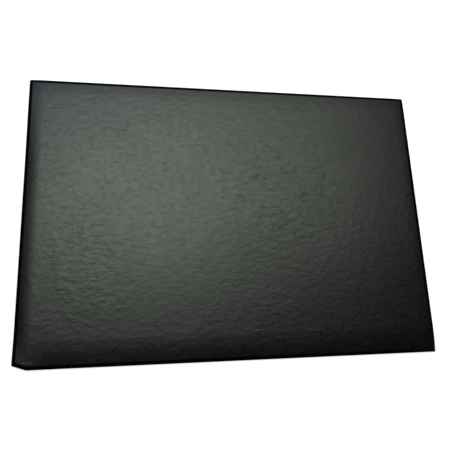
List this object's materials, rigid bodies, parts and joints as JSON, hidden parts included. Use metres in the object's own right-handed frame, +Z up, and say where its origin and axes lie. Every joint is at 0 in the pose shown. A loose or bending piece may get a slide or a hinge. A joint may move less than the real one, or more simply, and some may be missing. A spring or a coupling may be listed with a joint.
{
  "type": "desk mat",
  "caption": "Rectangular padded desk mat in black grained leatherette, wrapped over a stiff board with rolled edges and a felt underside.",
  "frame": {"origin": "on the desk surface, under the middle of the mat's outline", "axes": "+X to the right along the long side, +Y from the user's edge to the back edge, +Z up out of the writing face"},
  "size_m": [0.65, 0.45, 0.009],
  "materials": {
    "leatherette": "soft black leatherette, fine creased grain, satin sheen",
    "foam": "thin closed-cell padding foam, matt",
    "greyboard": "dense grey binder's board, matt",
    "card": "thin plain card, matt",
    "felt": "short needled black felt, non-slip"
  },
  "bodies": {
    "root": {"cover_sheet": "leatherette", "foam_pad": "foam", "core_board": "greyboard", "infill_card": "card", "backing_sheet": "felt"}
  },
  "joints": []
}
